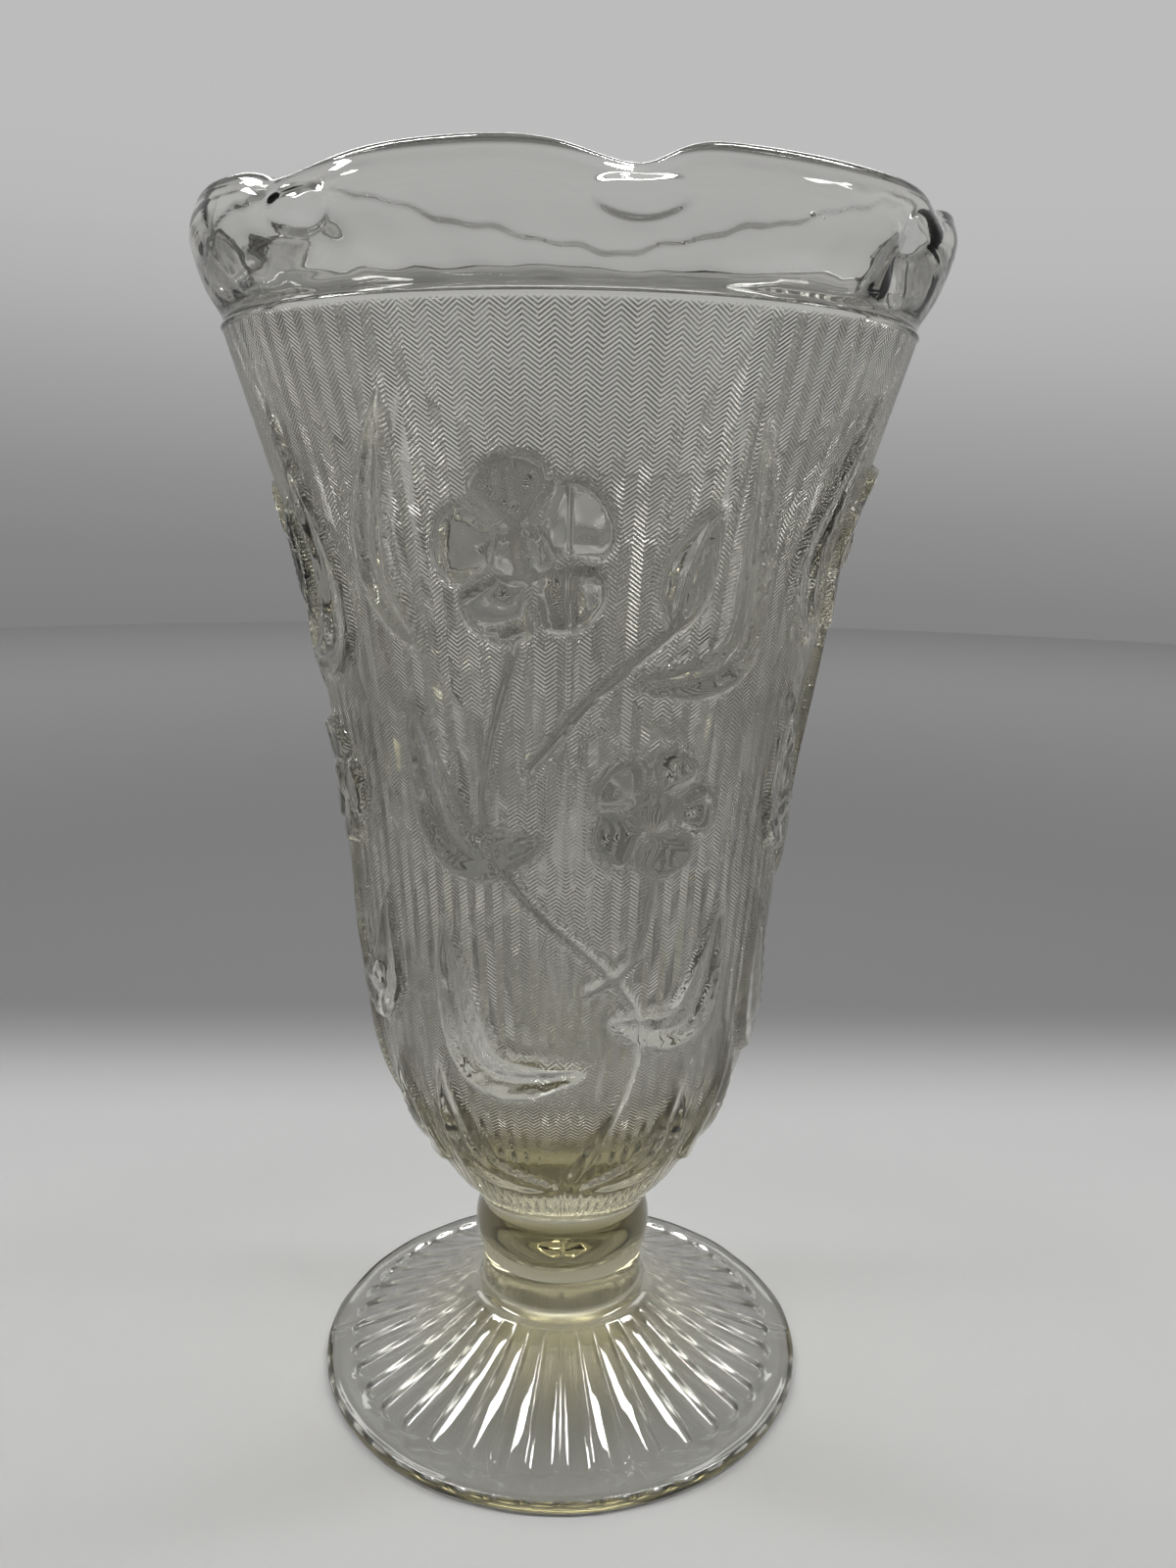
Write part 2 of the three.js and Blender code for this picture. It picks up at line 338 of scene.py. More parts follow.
foot = {
    # colour and tint darker than the bowl's: painted shade where the bowl shadows the foot
    "colour": (0.83, 0.83, 0.825, 1),
    "tintDensity": 32.0,
    "clearShadow": 0.0,               # share of a lamp's light that passes the glass unbent
    "wornRoughness": 0.22,
    "wornDepth": (0.2, 0.8),          # mm above the hollow's face where its roughness ends
    "waves": {"Broad": 0.07, "Fine": 0.01},
    "unevenEdge": (49.0, 50.2),       # from here out the waves are higher
    "edgeWaves": 4.0,                 # how much higher they are at the edge
    "seam": {"Depth": 0.05, "Width": 0.3},
    "radius": 51.0,
    "edgeHeight": 2.8,
    "edgeRound": 1.2,
    "marginSteps": 5,
    "rayOuter": (46.0, 3.8),          # radius and height, as is the next
    "rayInner": (19.6, 16.4),
    "sag": 0.9,
    "rays": 40,
    "troughDepth": 0.06,              # in ray widths, as are the next two
    "ribRise": 0.09,
    "ribHalf": (0.03, 0.19),          # where a rib's side begins and ends
    "troughCurve": 1.5,
    "rayEnd": 2.8,                    # how far the round ends of the troughs reach
    "rayFade": (1.4, 4.0),            # mm over which they rise to the margin and to the neck
    "neckRadius": 17.0,
    "neckHeights": (20.6, 22.4, 24.0),
    "cove": 2.4,
    "coveSteps": 6,
    "top": 25.0,
    "hollowRadius": 46.4,
    "hollow": 8.0,
    "hollowRows": 20,
    "contact": [(45.7, 0.42), (46.9, 0.15), (48.2, 0.02), (49.3, 0.1)],
    "wobble": 0.3,                    # mm, of the plain margin and the edge
    "wobbleFrom": -1.0,               # mm out from the rays' outer ends
    "wobbleGrows": 3.0,               # mm until it is whole
    "wobbleShift": 30,                # so that it isn't the same in radius and in height
    "restHeight": 0.3,                # the ring that it rests on is left flat
    "topSide": 1.0,                   # points this far above the hollow are on the rays' side
    "columns": 20,                    # per ray
    "columnCrowding": 1.6,            # closer columns near the ribs
    "rows": 56,
    "rowCrowding": 1.25,              # closer rows where the troughs end
    "jointGap": 0.01,
    "bubbles": [(6, -9, 12.5, 0.25), (-22, 12, 9.2, 0.2), (17, 21, 8.6, 0.22)],
}


def footHeights(tree):
    radius = placeOnVase(tree)[2]
    edge = mathNode(tree, "MULTIPLY", ramp(tree, radius, *foot["unevenEdge"]), foot["edgeWaves"])
    waves = mathNode(tree, "MULTIPLY", groupHeight(tree, wavesGroup, foot["waves"]),
                     mathNode(tree, "ADD", edge, 1.0))
    return addUp(tree, [waves, groupHeight(tree, seamGroup, foot["seam"])])


def underWear(tree):
    # the hollow beneath the foot was never fire-polished
    _, height, radius = placeOnVase(tree)
    deep = foot["hollow"]
    share = mathNode(tree, "DIVIDE", radius, foot["hollowRadius"])
    under = mathNode(tree, "MULTIPLY_ADD", mathNode(tree, "MULTIPLY", share, share), -deep, deep)
    above = mathNode(tree, "SUBTRACT", height, under)
    return opposite(tree, ramp(tree, above, *foot["wornDepth"]))


def footOutline():
    # from the middle of the hollow, round the edge and up to the middle of the neck's top
    rows, edge, edgeTop = foot["hollowRows"], foot["edgeRound"], foot["edgeHeight"]
    points = [(foot["hollowRadius"] * t / rows, foot["hollow"] * (1 - (t / rows) ** 2)) for t in range(rows)]
    points += foot["contact"]
    centre = foot["radius"] - edge
    for degrees in range(-60, 15, 15):
        a = math.radians(degrees)
        points.append((centre + edge * math.cos(a), edge * (1 + math.sin(a))))
    for degrees in range(0, 105, 15):
        a = math.radians(degrees)
        points.append((centre + edge * math.cos(a), edgeTop - edge * (1 - math.sin(a))))
    (outR, outZ), (inR, inZ) = foot["rayOuter"], foot["rayInner"]
    steps = foot["marginSteps"]
    points += [(centre - (centre - outR) * t / steps, edgeTop + (outZ - edgeTop) * t / steps)
               for t in range(1, steps)]
    for i in range(foot["rows"] + 1):
        t = (i / foot["rows"]) ** foot["rowCrowding"]
        points.append((outR + (inR - outR) * t, outZ + (inZ - outZ) * t - foot["sag"] * 4 * t * (1 - t)))
    for i in range(1, foot["coveSteps"] + 1):
        a = i / foot["coveSteps"] * math.pi / 2
        points.append((foot["neckRadius"] + (inR - foot["neckRadius"]) * (1 - math.sin(a)),
                       inZ + foot["cove"] * (1 - math.cos(a))))
    top = foot["top"] - foot["jointGap"]
    return points + [(foot["neckRadius"], z) for z in (*foot["neckHeights"], top)] + [(0, top)]


def pressRays(vert, azimuth, radius, height):
    outR, inR = foot["rayOuter"][0], foot["rayInner"][0]
    ray = azimuth / turn * foot["rays"]
    x = 2 * (ray - math.floor(ray)) - 1                     # -1 and 1 on the ribs, 0 in the trough
    x = math.copysign(1 - (1 - abs(x)) ** foot["columnCrowding"], x)
    azimuth = (math.floor(ray) + (x + 1) / 2) / foot["rays"] * turn
    under = foot["hollow"] * (1 - (radius / foot["hollowRadius"]) ** 2)
    wobble = foot["wobble"] * smooth((radius - outR - foot["wobbleFrom"]) / foot["wobbleGrows"])
    if height > foot["restHeight"] and wobble:
        radius -= wobble * (0.5 + 0.5 * unevenness(azimuth))
        height += 0.5 * wobble * unevenness(azimuth, foot["wobbleShift"])
    if inR < radius < outR and height > under + foot["topSide"]:
        width = turn * radius / foot["rays"]
        end = outR - foot["rayEnd"] * (1 - math.sqrt(max(0.0, 1 - x * x)))
        atMargin, atNeck = foot["rayFade"]
        fade = smooth((end - radius) / atMargin) * smooth((radius - inR) / atNeck)
        flat, side = foot["ribHalf"]
        past = smooth(((1 - abs(x)) / 2 - flat) / (side - flat))
        trough = foot["troughDepth"] * (1 - abs(x) ** foot["troughCurve"])
        height -= width * fade * (foot["ribRise"] * past + trough)
    return azimuth, radius, height


def makeFoot():
    bm = spinOutline(footOutline(), foot["rays"] * foot["columns"])
    reshape(bm, pressRays)
    markJoints(bm, [foot["top"] - foot["jointGap"]], foot["neckRadius"])
    addBubbles(bm, foot["bubbles"])
    finishPiece(bm, "footGlass", "foot",
                glassMaterial("rayedFootGlass", foot, footHeights, underWear))


# Knop

knop = {
    # a far darker grey and a denser tint than the other zones: painted shade for the dark that the thick
    # knop shows
    "colour": (0.71, 0.705, 0.68, 1),
    "tintDensity": 80.0,
    "clearShadow": 0.6,
    "waves": {"Broad": 0.25, "Fine": 0.015},
    "seam": {"Depth": 0.08, "Width": 0.3},
    "bottom": 25.0,
    "height": 11.5,
    "radius": 18.5,
    "bottomRadius": 17.0,
    "topRadius": 17.3,
    "sides": 160,
    "rows": 28,
    "jointGap": 0.01,
    "bubbles": [(0.5, -8, 29.5, 0.55), (-7, -3, 32, 0.25), (8, 5, 30, 0.3)],
}


def knopHeights(tree):
    waves = groupHeight(tree, wavesGroup, knop["waves"])
    return addUp(tree, [waves, groupHeight(tree, seamGroup, knop["seam"])])


def makeKnop():
    low = knop["bottom"] + knop["jointGap"]
    high = knop["bottom"] + knop["height"] - knop["jointGap"]
    lowR, highR = knop["bottomRadius"], knop["topRadius"]
    outline = [(0, low)]
    for i in range(knop["rows"] + 1):
        t = i / knop["rows"]
        bulge = (knop["radius"] - (lowR + highR) / 2) * math.sin(math.pi * t)
        outline.append((lowR + (highR - lowR) * t + bulge, low + (high - low) * t))
    outline.append((0, high))
    bm = spinOutline(outline, knop["sides"])
    markJoints(bm, [low, high], knop["radius"])
    addBubbles(bm, knop["bubbles"])
    finishPiece(bm, "knopGlass", "knop", glassMaterial("thickKnopGlass", knop, knopHeights))


# Bowl and its relief

bowl = {
    # a grey darker than clear glass: painted shade
    "colour": (0.9, 0.9, 0.89, 1),
    "tintDensity": 28.0,
    "clearShadow": 0.6,
    "wornRoughness": 0.04,
    "wornEdge": (208.95, 209.3),          # the worn edge of the ledge, in mm up
    "herringbone": {"Columns": 84.0, "Pitch": 0.7, "Rise": 0.36, "Depth": 0.27},
    "patternTop": (206.6, 209.2),         # where the herringbone runs out below the ledge
    "patternFoot": (58.0, 84.0),          # where it runs out below, and flutes take its place
    "fluteFoot": (40.0, 50.0),
    "fluteDepth": 0.1,
    "waves": {"Broad": 0.12, "Fine": 0.01},
    "seam": {"Depth": 0.1, "Width": 0.35},
    "base": 36.5,
    "height": 173.5,
    "baseRadius": 17.3,
    "outline": [(3.5, 18.9), (9.5, 24), (17, 28.5), (28, 34.2), (42, 38.3), (62, 40.8),
                (90, 43.5), (114, 47.2), (134, 50.7), (152, 56.1)],
    "topRadius": 62.7,
    "edgeRound": 0.7,
    "edgeSteps": (0.3, 0.6, 0.9, 1.2, math.pi / 2),         # angles round the edge of the ledge
    "wall": 4.2,
    "floor": 10.5,
    "floorRound": 26.0,
    "sides": 400,
    "rows": 192,
    "insideRows": 34,
    "insideCrowding": 1.6,                # closer rows near the floor
    "jointGap": 0.01,
}

spray = {                                # one spray, repeated round the bowl; mm across and up
    "count": 4,
    "reach": 38,                          # its relief ends this far from its middle
    "height": 1.6,
    "edge": 1.1,
    "plainEdge": 2.5,                     # how soon the ground's pattern ends where the relief starts
    "fadeLow": 12,
    "fadeHigh": 6,
    "blossoms": [((-7, 173), 15.5, 0.2), ((15, 130), 12.5, 0.9)],
    "stems": [[(2, 56), (13, 92), (-13, 124), (-8, 160)], [(4, 98), (12, 104), (15, 119)],
              [(-6, 138), (5, 151), (18, 162)]],
    "stemWidth": 2.4,
    "leaves": [
        ([(-3, 126), (-19, 124), (-28, 151)], 12),
        ([(7, 92), (23, 90), (30, 113)], 10.5),
        ([(5, 82), (-15, 82), (-23, 112)], 11),
        ([(0, 52), (-17, 58), (-25, 84)], 9),
        ([(3, 52), (18, 58), (24, 80)], 9),
        ([(9, 152), (30, 158), (31, 197)], 10),
        ([(-24, 156), (-34, 172), (-29, 200)], 9),
    ],
    "buds": [([(17, 160), (19, 170), (24, 181)], 11)],
    "budRise": 1.1,
}
petal = {                                # heights as shares of the spray's height, lengths in mm
    "perTurn": 2.5,                       # half the number of petals
    "notch": 0.2,
    "notchCurve": 1.5,
    "base": 0.55,
    "cup": 0.6,
    "cupCurve": 1.5,
    "gap": 0.55,
    "gapWidth": 1.3,
    "gapFrom": 0.25,                      # of the blossom's radius, as is the heart
    "gapGrows": 2.0,
    "heart": 0.24,
    "heartRise": 0.6,
}
leaf = {
    "base": 0.6,
    "cup": 0.4,
    "rib": 0.3,
    "ribWidth": 0.7,
    "vein": 0.04,
    "veinPitch": 3.4,
    "veinSlant": 1.3,
    "veinFrom": 1.5,                      # mm from the rib until they are whole
    "length": 40,                         # about as long as the longest one
    "pointed": 0.8,
}
stemRise = 0.75
curveSteps = 20
smoothCurves = {}


def alongCurve(points, x, y):
    # nearest place on a smooth line: share along it and distance to the side
    key = tuple(points)
    if key not in smoothCurves:
        smoothCurves[key] = curveThrough(points, curveSteps)
    line = smoothCurves[key]
    best = (math.inf, 0.0, 0.0)
    for i, (a, b) in enumerate(zip(line, line[1:])):
        dx, dy = b[0] - a[0], b[1] - a[1]
        lengthSquared = dx * dx + dy * dy
        t = clamp(((x - a[0]) * dx + (y - a[1]) * dy) / lengthSquared)
        ox, oy = x - a[0] - dx * t, y - a[1] - dy * t
        away = ox * ox + oy * oy
        if away < best[0]:
            side = math.sqrt(away) * (1 if dx * oy - dy * ox > 0 else -1)
            best = (away, (i + t) / curveSteps, side)
    return best[1], best[2]


def near(points, x, y, margin):
    across, up = zip(*points)
    return min(across) - margin < x < max(across) + margin and min(up) - margin < y < max(up) + margin


def blossomRelief(x, y, radius, twist):
    away = math.hypot(x, y)
    if away > radius:
        return 0.0
    lobe = abs(math.cos((math.atan2(x, y) + twist) * petal["perTurn"]))
    edge = radius * (1 - petal["notch"] * (1 - lobe) ** petal["notchCurve"]) - away
    rise = petal["base"] + petal["cup"] * (away / radius) ** petal["cupCurve"]
    gap = (hill(away * lobe / petal["perTurn"], petal["gapWidth"])
           * smooth((away - petal["gapFrom"] * radius) / petal["gapGrows"]))
    heart = petal["heart"] * radius
    dome = petal["heartRise"] * math.sqrt(max(0.0, 1 - (away / heart) ** 2)) if away < heart else 0.0
    return smooth(edge / spray["edge"]) * (rise - petal["gap"] * gap + dome)


def leafRelief(points, x, y, width):
    if not near(points, x, y, width):
        return 0.0
    t, side = alongCurve(points, x, y)
    half = width / 2 * math.sin(math.pi * clamp(t) ** leaf["pointed"]) ** leaf["pointed"]
    edge = half - abs(side)
    if edge <= 0:
        return 0.0
    body = leaf["base"] + leaf["cup"] * (side / half) ** 2
    rib = leaf["rib"] * hill(side, leaf["ribWidth"])
    along = leaf["length"] * t - abs(side) * leaf["veinSlant"]
    veins = leaf["vein"] * math.cos(turn * along / leaf["veinPitch"]) * smooth(abs(side) / leaf["veinFrom"])
    return smooth(edge / spray["edge"]) * (body - rib + veins)


def stemRelief(points, x, y, width):
    if not near(points, x, y, width):
        return 0.0
    side = alongCurve(points, x, y)[1]
    squared = 1 - (2 * side / width) ** 2
    return stemRise * math.sqrt(squared) if squared > 0 else 0.0


def sprayRelief(azimuth, height, radius):
    pitch = turn / spray["count"]
    x = (azimuth - round(azimuth / pitch) * pitch) * radius
    best = 0.0
    for shift in (-pitch * radius, 0.0, pitch * radius):        # leaves may pass into the next spray
        u = x + shift
        if abs(u) > spray["reach"]:
            continue
        for points in spray["stems"]:
            best = max(best, stemRelief(points, u, height, spray["stemWidth"]))
        for points, width in spray["leaves"]:
            best = max(best, leafRelief(points, u, height, width))
        for points, width in spray["buds"]:
            best = max(best, leafRelief(points, u, height, width) * spray["budRise"])
        for (cx, cy), size, twist in spray["blossoms"]:
            best = max(best, blossomRelief(u - cx, height - cy, size, twist))
    return best


def bowlHeights(tree):
    turns, height = placeOnVase(tree)[:2]
    patterned = mathNode(tree, "MULTIPLY", opposite(tree, attribute(tree, "plain")),
                         opposite(tree, ramp(tree, height, *bowl["patternTop"])))
    low = ramp(tree, height, *bowl["patternFoot"])
    lines = bowl["herringbone"]
    ground = groupHeight(tree, herringboneGroup, lines)
    ground = mathNode(tree, "MULTIPLY", ground, mathNode(tree, "MULTIPLY", patterned, low))
    flutes = mathNode(tree, "COSINE", mathNode(tree, "MULTIPLY", turns, turn * lines["Columns"]))
    fade = mathNode(tree, "MULTIPLY", ramp(tree, height, *bowl["fluteFoot"]), opposite(tree, low))
    flutes = mathNode(tree, "MULTIPLY", mathNode(tree, "MULTIPLY", flutes, bowl["fluteDepth"]),
                      mathNode(tree, "MULTIPLY", fade, patterned))
    pressed = addUp(tree, [ground, flutes, groupHeight(tree, seamGroup, bowl["seam"])])
    pressed = mathNode(tree, "MULTIPLY", pressed, opposite(tree, attribute(tree, "inside")))
    return addUp(tree, [pressed, groupHeight(tree, wavesGroup, bowl["waves"])])


def ledgeWear(tree):
    height = placeOnVase(tree)[1]
    return mathNode(tree, "MULTIPLY", ramp(tree, height, *bowl["wornEdge"]),
                    opposite(tree, attribute(tree, "inside")))


def makeBowl():
    up, high, edge, gap = bowl["base"], bowl["height"], bowl["edgeRound"], bowl["jointGap"]
    points = [(bowl["baseRadius"], 0)] + [(r, h) for h, r in bowl["outline"]] + [(bowl["topRadius"], high)]
    wall = curveThrough(points, bowl["rows"])
    wall[-1] = (wall[-1][0], high - edge)

    def outsideRadius(h):
        for (r0, h0), (r1, h1) in zip(wall, wall[1:]):
            if h <= h1:
                return r0 + (r1 - r0) * (h - h0) / max(1e-6, h1 - h0)
        return wall[-1][0]

    perMm = 4                                                # steps of the table of radii
    radii = [outsideRadius(i / perMm) for i in range(int(high * perMm) + 2)]

    def radiusAt(h):
        place = clamp(h, 0, high) * perMm
        i = int(place)
        return radii[i] + (radii[min(i + 1, len(radii) - 1)] - radii[i]) * (place - i)

    outline = [(0, up + gap), (bowl["baseRadius"], up + gap)] + [(r, up + h) for r, h in wall[1:]]
    outline += [(bowl["topRadius"] - edge * (1 - math.cos(a)), up + high - gap - edge * (1 - math.sin(a)))
                for a in bowl["edgeSteps"]]
    for i in range(bowl["insideRows"] + 1):
        t = 1 - i / bowl["insideRows"]
        h = bowl["floor"] + (high - gap - bowl["floor"]) * t ** bowl["insideCrowding"]
        rise = clamp((h - bowl["floor"]) / bowl["floorRound"])
        outline.append(((radiusAt(h) - bowl["wall"]) * math.sqrt(1 - (1 - rise) ** 2), up + h))
    bm = spinOutline(outline, bowl["sides"])

    plainLayer = bm.verts.layers.float.new("plain")
    insideLayer = bm.verts.layers.float.new("inside")
    pitch = turn / spray["count"]
    known = {}                                               # the relief is the same in each spray
    perRadian, perHeight = 2000, 50                          # how fine its places are, round and per mm up

    def pressRelief(vert, azimuth, radius, height):
        ground = radiusAt(height - up)
        if radius < ground - bowl["wall"] / 2:
            vert[insideLayer] = 1.0
            return azimuth, radius, height
        key = (round((azimuth % pitch) * perRadian), round(height * perHeight))
        if key not in known:
            known[key] = sprayRelief(azimuth, height, ground)
        raised = known[key]
        fade = smooth((height - up) / spray["fadeLow"]) * smooth((up + high - height) / spray["fadeHigh"])
        vert[plainLayer] = smooth(raised * fade * spray["plainEdge"])
        return azimuth, radius + spray["height"] * raised * fade, height

    reshape(bm, pressRelief)
    markJoints(bm, [up + gap, up + high - gap], bowl["topRadius"] - edge)
    finishPiece(bm, "bowlGlass", "bowl",
                glassMaterial("herringboneBowlGlass", bowl, bowlHeights, ledgeWear))


# Rim

rim = {
    # a grey darker than clear glass: painted shade
    "colour": (0.86, 0.86, 0.85, 1),
    "tintDensity": 28.0,
    "clearShadow": 0.6,
    "waves": {"Broad": 0.2, "Fine": 0.012},
    "wavesFrom": (210.0, 216.0),
    "base": 210.0,
    "height": 18.6,
    "baseRadius": 62.3,
    "insideRadius": 58.5,
    "straight": (62.7, 1.8),
    "shoulder": (65.7, 6.7),
    "widest": (68.1, 13.4),
    "lipIn": 0.64,
    "wall": 3.2,
    "wallNarrows": 1.6,               # how soon it narrows from its base to this
    "lean": 0.08,                     # mm that the lip stands in, to keep within the solids
    "sideBlend": 1.2,                 # mm across the wall from the inside's marks to the outside's
    "insideFade": (0.0, 2.0),         # mm above the lip's middle where they end, and mm to fade in
    "outsideFade": (1.0, 1.5),
    "pinchSpread": 9.0,               # degrees
    "pinchCurve": 2,
    "dipCurve": 3,
    "dent": (8.5, 5.5, 4.5),          # mm above the ledge, and its spread in degrees and in mm up
    "dentGrows": 5.0,                 # how soon it is whole above the ledge
    "dish": (11.8, 6.8, 3.6),         # the same for the mark of the tool on the outside
    "dishDepth": 0.4,
    "dishEdge": 0.3,
    "meltLine": (9.5, 4.5),           # where the fire-polished inside begins: height and its swing
    "meltWaves": 4,
    "meltShift": 0.07,
    "meltWobble": 0.7,
    "meltStep": 0.25,
    "meltEdge": 0.8,                  # mm up over which the step rises, and below the lip fades
    "meltFade": 3.0,
    "swell": 0.14,
    "swellGrows": 4.0,
    "crumpledPinch": 3.8,             # the tool left the inside crumpled at pinches this deep
    "crumple": 0.5,
    "crumpleSpread": (7, 6),          # degrees, and mm up
    "crumpleWaves": (13, 7),          # how much finer its wobble is, round and up
    "sides": 630,
    "rows": 46,
    "lipSteps": 12,
    "jointGap": 0.01,
    "bubbles": [(33.6, -54.2, 221.5, 0.42), (35.2, -53.4, 221.3, 0.15), (-20, 60.5, 219, 0.3)],
}
crimps = [
    # degrees right of the seam, dip, spread left and right, pinch, dent and its shift in degrees
    (-94, 4.2, 10, 22, 4.0, 0.8, 0),
    (-43, 1.8, 4, 14, 3.0, 2.4, 6),
    (8, 2.9, 8.5, 5, 2.6, 0.8, 0),
    (61, 1.4, 4, 5, 1.2, 2.8, -7),
    (101, 3.4, 14, 9, 3.8, 1.4, 2),
    (155, 2.6, 9, 7, 3.2, 1.6, -2),
    (-152, 3.0, 7, 8, 3.6, 1.2, 0),
]


def rimHeights(tree):
    height = placeOnVase(tree)[1]
    return mathNode(tree, "MULTIPLY", groupHeight(tree, wavesGroup, rim["waves"]),
                    ramp(tree, height, *rim["wavesFrom"]))


def makeRim():
    base, gap, widest = rim["base"], rim["jointGap"], rim["widest"]
    lip = rim["wall"] / 2
    side = curveThrough([(rim["baseRadius"], 0), rim["straight"], rim["shoulder"], widest,
                         (widest[0] - rim["lipIn"], rim["height"] - lip)], rim["rows"])
    lipR, lipH = side[-1]
    thicker = rim["baseRadius"] - rim["insideRadius"] - rim["wall"]

    def wallAt(h):
        return rim["wall"] + thicker * (1 - clamp(h / lipH * rim["wallNarrows"]))

    outline = [(side[0][0], base + gap)] + [(r, base + h) for r, h in side[1:]]
    for i in range(1, rim["lipSteps"]):
        a = i / rim["lipSteps"] * math.pi
        outline.append((lipR - lip + lip * math.cos(a), base + lipH + lip * math.sin(a)))
    outline += [(r - wallAt(h), base + max(h, gap)) for r, h in reversed(side)]
    outline.append(outline[0])
    bm = spinOutline(outline, rim["sides"])

    def sideRadius(h):
        i = next((n for n, p in enumerate(side) if p[1] >= h), len(side) - 1)
        return side[i][0]

    meltHeight, meltSwing = rim["meltLine"]
    dentUp, dentAcross, dentHigh = rim["dent"]
    dishUp, dishAcross, dishHigh = rim["dish"]
    crumpleAcross, crumpleHigh = rim["crumpleSpread"]
    wavesRound, wavesUp = rim["crumpleWaves"]

    def shareOf(side, h, fade):
        # how much a point takes of the marks on the side that it lies towards
        end, length = fade
        return smooth(side / rim["sideBlend"] + 0.5) * smooth((lipH + end - h) / length)

    def crimp(vert, azimuth, radius, height):
        h = height - base
        s = clamp(h / rim["height"])
        middle = sideRadius(h) - wallAt(h) / 2
        insideShare = shareOf(middle - radius, h, rim["insideFade"])
        outsideShare = shareOf(radius - middle, h, rim["outsideFade"])
        dip = pinch = dent = dish = crumple = 0.0
        for at, dipHere, left, right, pinchHere, dentHere, shift in crimps:
            away = math.degrees(azimuth) - at
            away -= round(away / 360) * 360
            dip = max(dip, dipHere * hill(away, left if away < 0 else right))
            pinch = max(pinch, pinchHere * hill(away, max(left, rim["pinchSpread"]) if away < 0 else right))
            dent += dentHere * hill(away - shift, dentAcross)
            oval = math.hypot((away - shift) / dishAcross, (h - dishUp) / dishHigh)
            dish += smooth((1 - oval) / rim["dishEdge"])
            if pinchHere >= rim["crumpledPinch"]:
                crumple += hill(away - shift, crumpleAcross)
        dent *= hill(h - dentUp, dentHigh) * smooth(s * rim["dentGrows"])
        line = (meltHeight - meltSwing * math.cos(rim["meltWaves"] * (azimuth - rim["meltShift"]))
                + rim["meltWobble"] * unevenness(azimuth * 3, 9))
        melt = rim["meltStep"] * smooth((h - line) / rim["meltEdge"]) * smooth((lipH - h) / rim["meltFade"])
        swell = rim["swell"] * unevenness(azimuth * 2, h) * smooth(h / rim["swellGrows"])
        rough = unevenness(azimuth * wavesRound, h * wavesUp)
        crumple *= rim["crumple"] * rough * hill(h - dentUp, crumpleHigh)
        radius += (melt + swell + crumple) * insideShare - rim["dishDepth"] * dish * outsideShare
        radius -= pinch * s ** rim["pinchCurve"] + dent + rim["lean"] * s
        return azimuth, radius, height - dip * s ** rim["dipCurve"]

    reshape(bm, crimp)
    markJoints(bm, [base + gap], rim["baseRadius"])
    addBubbles(bm, rim["bubbles"])
    finishPiece(bm, "rimGlass", "ruffled_rim",
                glassMaterial("crimpedRimGlass", rim, rimHeights))


makeFoot()
makeKnop()
makeBowl()
makeRim()


# Floor, light and camera

stage = {
    # grey levels of the floor, which paint light and shade on it: a painted pool of light round the vase,
    # brighter at the front, painted shade round the pool and painted light again far off; and in metres
    # where each runs into the next
    "paintedLitFloor": 0.293,
    "paintedFrontLight": 0.36,
    "paintedFrontEnds": (0.0, 0.09),
    "paintedLightEdge": {"back": (0.1, 0.195), "front": (0.1, 0.16), "side": (0.3, 0.5)},
    "paintedShadeFloor": 0.107,
    "farAway": (0.4, 1.8),
    "paintedFarLight": 0.42,
    "roughness": 0.9,
    "reach": 1.7,
    "sides": 96,
}


def greyMix(tree, factor, first, second):
    node = tree.nodes.new("ShaderNodeMix")
    node.data_type = "FLOAT"
    tree.links.new(factor, node.inputs["Factor"])
    for label, value in (("A", first), ("B", second)):
        if isinstance(value, float):
            node.inputs[label].default_value = value
        else:
            tree.links.new(value, node.inputs[label])
    return node.outputs["Result"]


def makeFloor():
    bm = bmesh.new()
    bmesh.ops.create_circle(bm, cap_ends=True, segments=stage["sides"], radius=stage["reach"])
    mesh = bpy.data.meshes.new("floor")
    bm.to_mesh(mesh)
    bm.free()
    material = bpy.data.materials.new("paintedLitFloor")
    material.use_nodes = True
    tree = material.node_tree
    shader = tree.nodes["Principled BSDF"]
    x, y = axes(tree, "Object")[:2]
    edges = stage["paintedLightEdge"]
    # the edges of the painted pool of light
    past = [ramp(tree, y, *edges["back"]),
            ramp(tree, mathNode(tree, "MULTIPLY", y, -1.0), *edges["front"]),
            ramp(tree, mathNode(tree, "ABSOLUTE", x), *edges["side"])]
    outOfLight = mathNode(tree, "MAXIMUM", mathNode(tree, "MAXIMUM", past[0], past[1]), past[2])
    squares = mathNode(tree, "ADD", mathNode(tree, "MULTIPLY", x, x), mathNode(tree, "MULTIPLY", y, y))
    # painted shade round the pool, with painted light again far away
    away = ramp(tree, mathNode(tree, "SQRT", squares), *stage["farAway"])
    background = greyMix(tree, away, stage["paintedShadeFloor"], stage["paintedFarLight"])
    # the painted pool of light, painted brighter towards the front
    paintedPool = greyMix(tree, ramp(tree, y, *stage["paintedFrontEnds"]), stage["paintedFrontLight"], stage["paintedLitFloor"])
    tree.links.new(greyMix(tree, outOfLight, paintedPool, background), shader.inputs["Base Color"])
    shader.inputs["Roughness"].default_value = stage["roughness"]
    mesh.materials.append(material)
    floor = bpy.data.objects.new("floor", mesh)
    bpy.context.scene.collection.objects.link(floor)


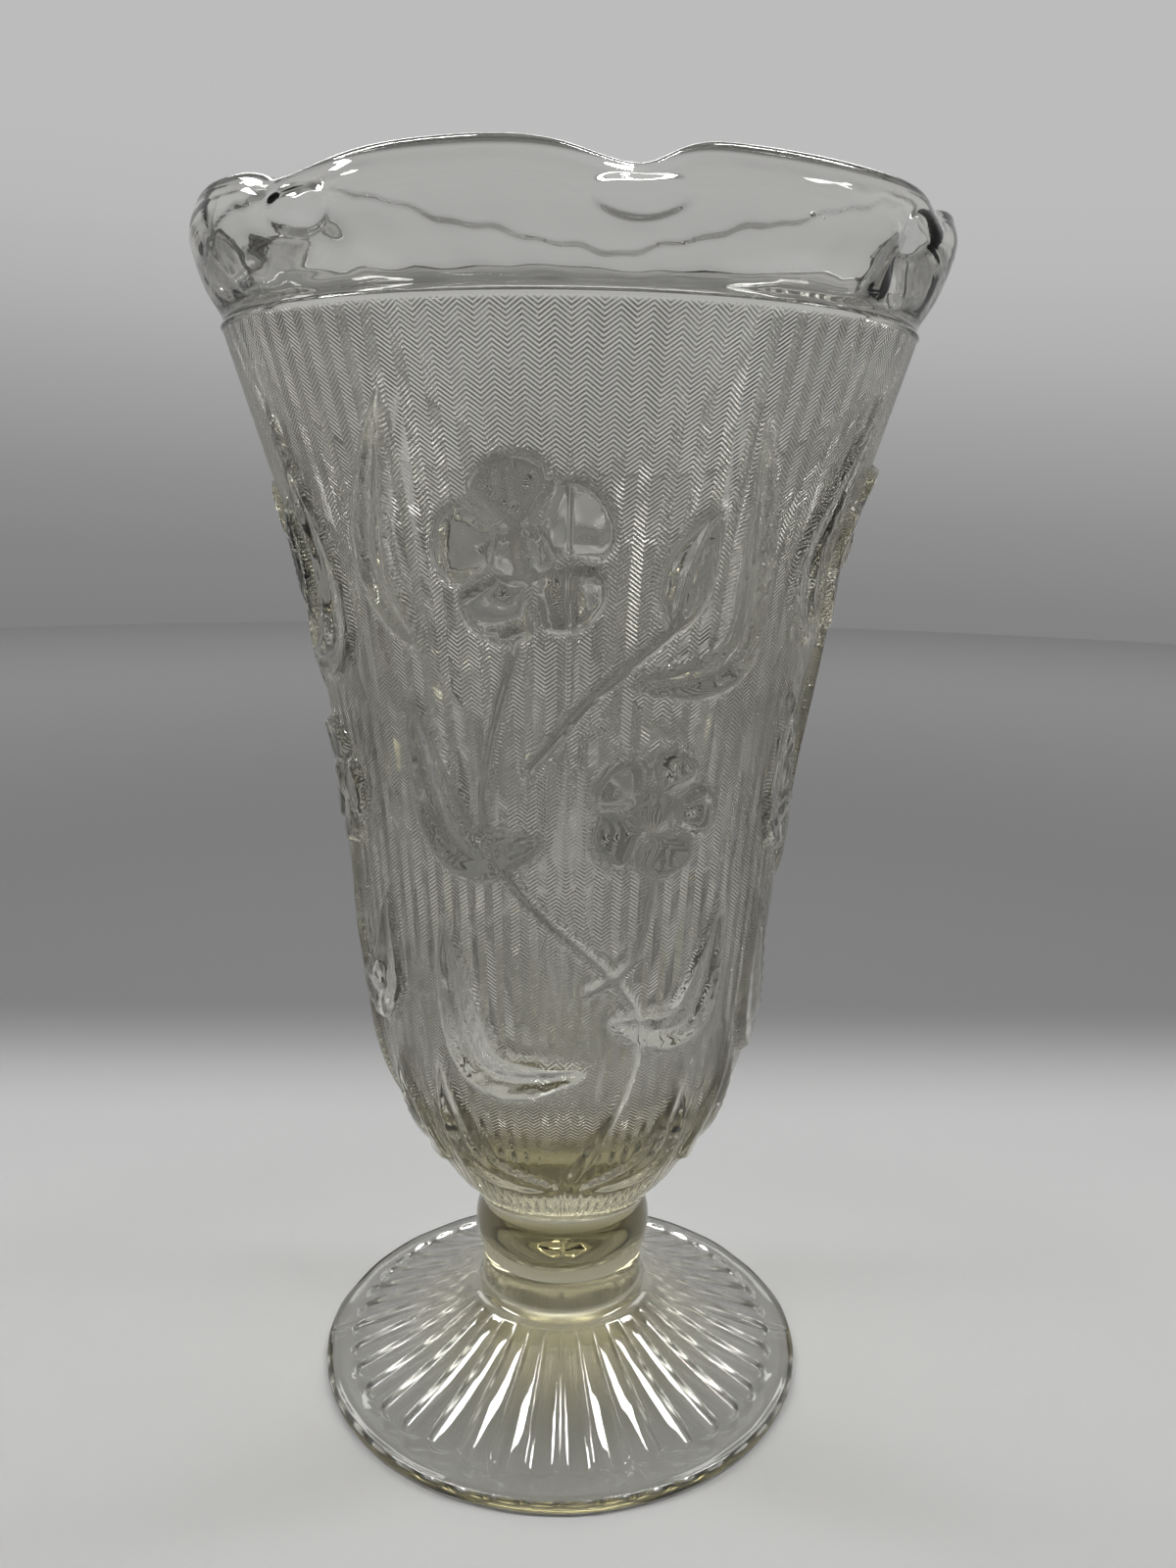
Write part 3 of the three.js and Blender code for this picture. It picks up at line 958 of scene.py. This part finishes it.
skyLevels = [                          # degrees above the horizon, and grey level
    (-6, 0.215),
    (-3, 0.235),
    (0, 0.275),
    (4, 0.36),
    (7, 0.435),
    (10, 0.485),
    (14, 0.505),
    (26, 0.5),
    (36, 0.16),
    (58, 0.16),
    (70, 0.6),
    (90, 0.6),
]
skySlant = 0.05                        # the right side of the backdrop is lit lower down
roomShade = 0.4                        # the room behind the camera, against the backdrop
backdropSide = (-0.35, 0.15)           # where the room ends and the backdrop begins, along Y
overheadFrom = (0.75, 0.95)            # where it is all ceiling, along Z


def makeWorld():
    world = bpy.data.worlds.new("studio")
    bpy.context.scene.world = world
    world.use_nodes = True
    tree = world.node_tree
    x, y, z = axes(tree, "Generated")
    slanted = mathNode(tree, "MULTIPLY_ADD", x, skySlant, z)
    colours = tree.nodes.new("ShaderNodeValToRGB")
    tree.links.new(mathNode(tree, "MULTIPLY_ADD", slanted, 0.5, 0.5), colours.inputs["Fac"])
    elements = colours.color_ramp.elements
    while len(elements) < len(skyLevels):
        elements.new(0.5)
    for element, (degrees, level) in zip(elements, skyLevels):
        element.position = 0.5 + 0.5 * math.sin(math.radians(degrees))
        element.color = (level, level, level, 1)
    facing = mathNode(tree, "MAXIMUM", ramp(tree, y, *backdropSide), ramp(tree, z, *overheadFrom))
    strength = mathNode(tree, "MULTIPLY_ADD", facing, 1 - roomShade, roomShade)
    background = tree.nodes["Background"]
    tree.links.new(colours.outputs["Color"], background.inputs["Color"])
    tree.links.new(strength, background.inputs["Strength"])


softboxes = {
    # place, width and depth in metres, and watts
    "leftSoftbox": ((-0.5, 0.08, 1.0), (0.13, 0.65), 8.5),
    "rightSoftbox": ((0.5, 0.08, 1.0), (0.13, 0.65), 8.5),
    "backSoftbox": ((0.0, 0.92, 1.0), (1.3, 0.25), 6.0),
}
softboxAim = Vector((0, 0, 0.1))


def makeSoftbox(name, place, size, power):
    data = bpy.data.lights.new(name, "AREA")
    data.shape = "RECTANGLE"
    data.size, data.size_y = size
    data.energy = power
    light = bpy.data.objects.new(name, data)
    light.location = place
    light.rotation_euler = (softboxAim - Vector(place)).to_track_quat("-Z", "Y").to_euler()
    bpy.context.scene.collection.objects.link(light)


photoCamera = {
    # fitted to the photograph; lengths in mm, angles in radians
    "focalPixels": 1300,
    "photoHeight": 1600,
    "distance": 248.8,
    "height": 181.1,
    "yaw": 0.017,
    "pitch": -0.219,
    "roll": 0.014,
    "clipStart": 10,
}


def makeCamera():
    data = bpy.data.cameras.new("photoCamera")
    data.lens = data.sensor_width * photoCamera["focalPixels"] / photoCamera["photoHeight"]
    data.clip_start = photoCamera["clipStart"] * mm
    camera = bpy.data.objects.new("photoCamera", data)
    place = Matrix.Translation((0, -photoCamera["distance"] * mm, photoCamera["height"] * mm))
    aim = (Matrix.Rotation(-photoCamera["yaw"], 4, "Z")
           @ Matrix.Rotation(math.pi / 2 + photoCamera["pitch"], 4, "X")
           @ Matrix.Rotation(photoCamera["roll"], 4, "Z"))
    camera.matrix_world = place @ aim
    bpy.context.scene.collection.objects.link(camera)
    bpy.context.scene.camera = camera


makeFloor()
makeWorld()
for name, (place, size, power) in softboxes.items():
    makeSoftbox(name, place, size, power)
makeCamera()
bpy.context.scene.view_settings.view_transform = "Standard"
print("stage made")
